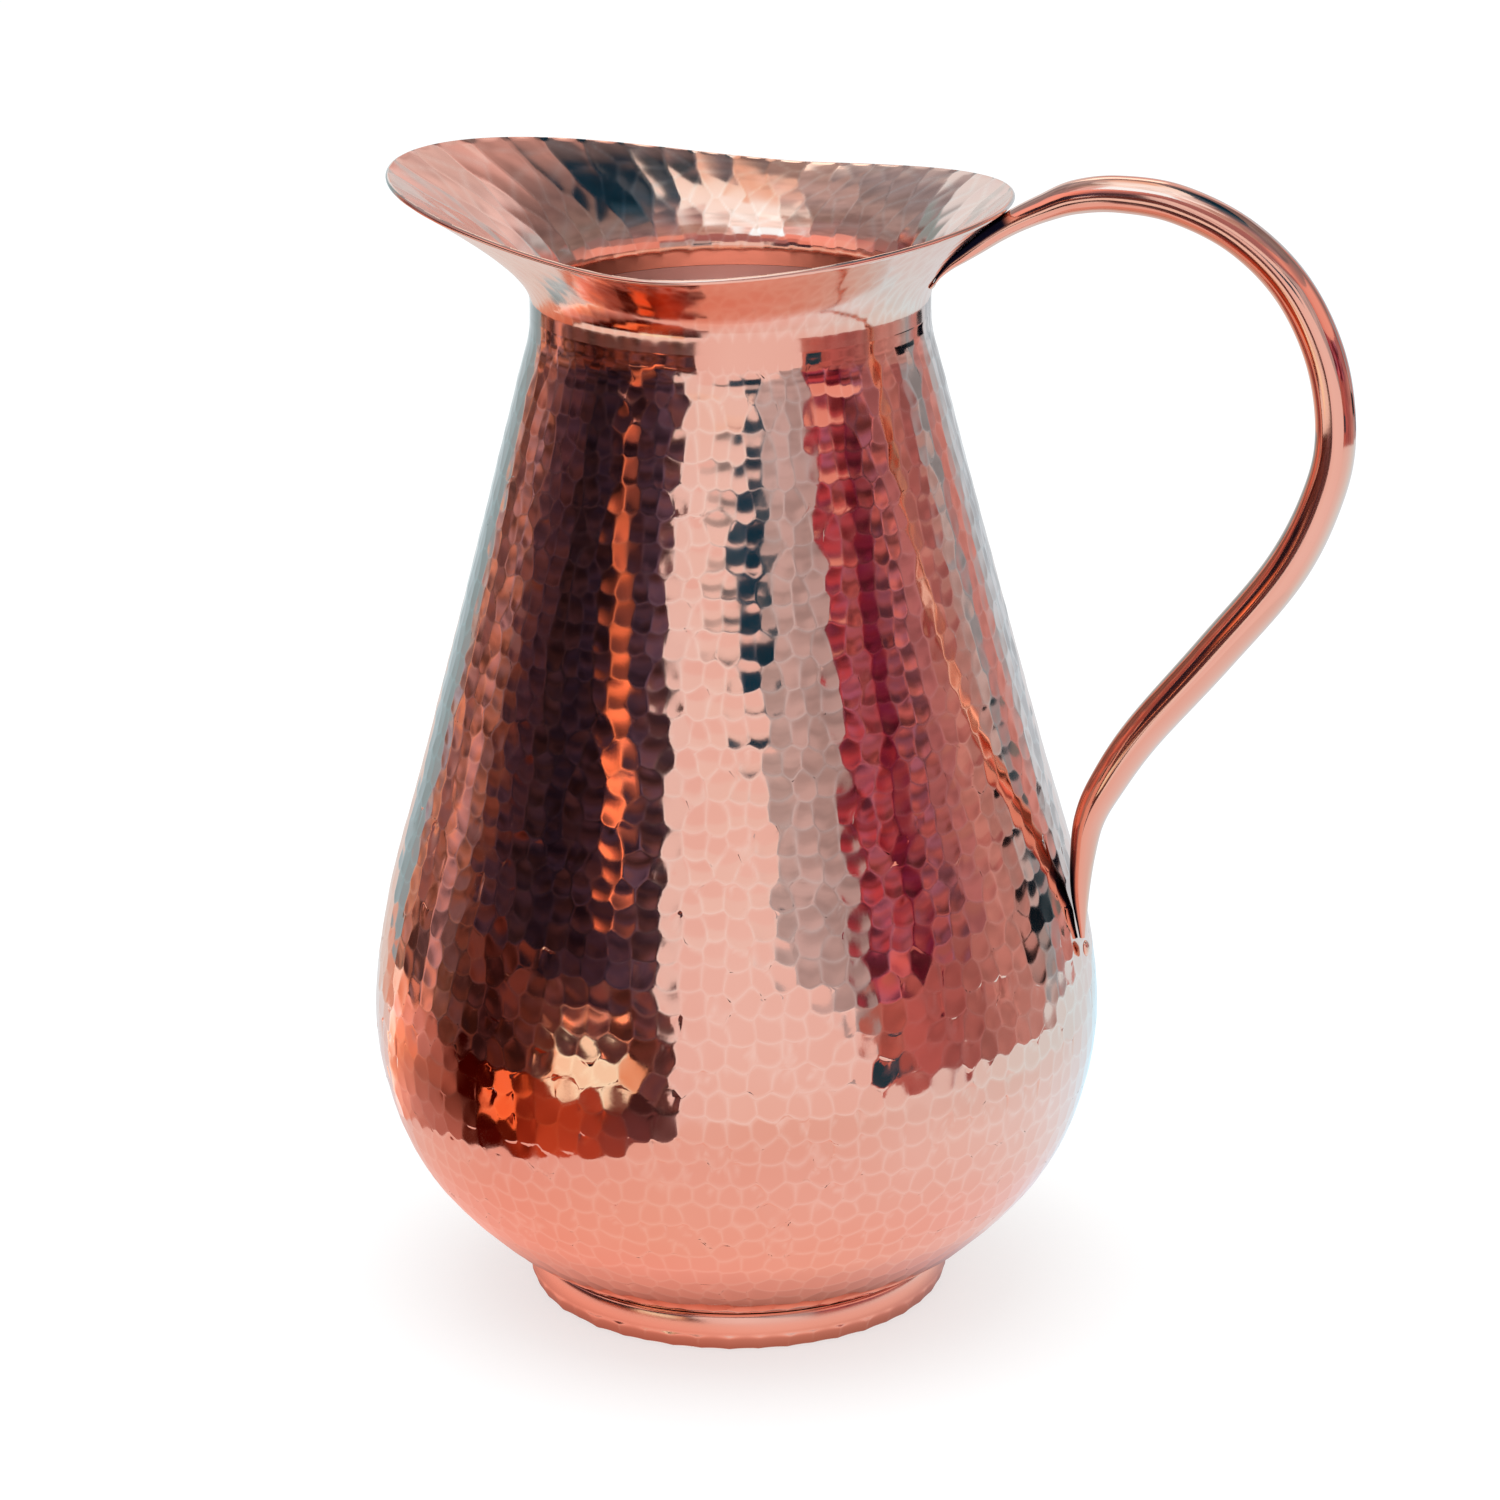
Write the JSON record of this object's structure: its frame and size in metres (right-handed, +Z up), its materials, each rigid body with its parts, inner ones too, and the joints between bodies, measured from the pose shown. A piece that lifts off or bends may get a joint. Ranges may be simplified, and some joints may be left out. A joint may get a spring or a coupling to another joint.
{
  "type": "water jug",
  "caption": "Hammered copper water jug: round belly narrowing to a neck, flared mouth with a drawn pouring spout, low foot ring and a tall ear-shaped bar handle.",
  "frame": {"origin": "on the table under the middle of the whole outline; the jug's own turned axis is parallel to Z at x = -0.02695", "axes": "+Z up, spout towards -X, handle towards +X, so X and Z hold the plane that mirrors the jug"},
  "size_m": [0.2102, 0.1564, 0.2493],
  "materials": {
    "hammered_copper": "hand hammered bare copper, mirror polished",
    "polished_copper": "planished bare copper, mirror polished",
    "foot_copper": "hammered bare copper, soft polish",
    "bar_copper": "forged copper bar, mirror polished",
    "braze": "dressed braze metal"
  },
  "bodies": {
    "root": {"body_shell": "hammered_copper", "mouth_collar": "polished_copper", "foot_ring": "foot_copper", "handle": "bar_copper", "neck_braze_seam": "braze", "foot_braze_seam": "braze", "upper_handle_braze": "braze", "lower_handle_braze": "braze"}
  },
  "joints": []
}
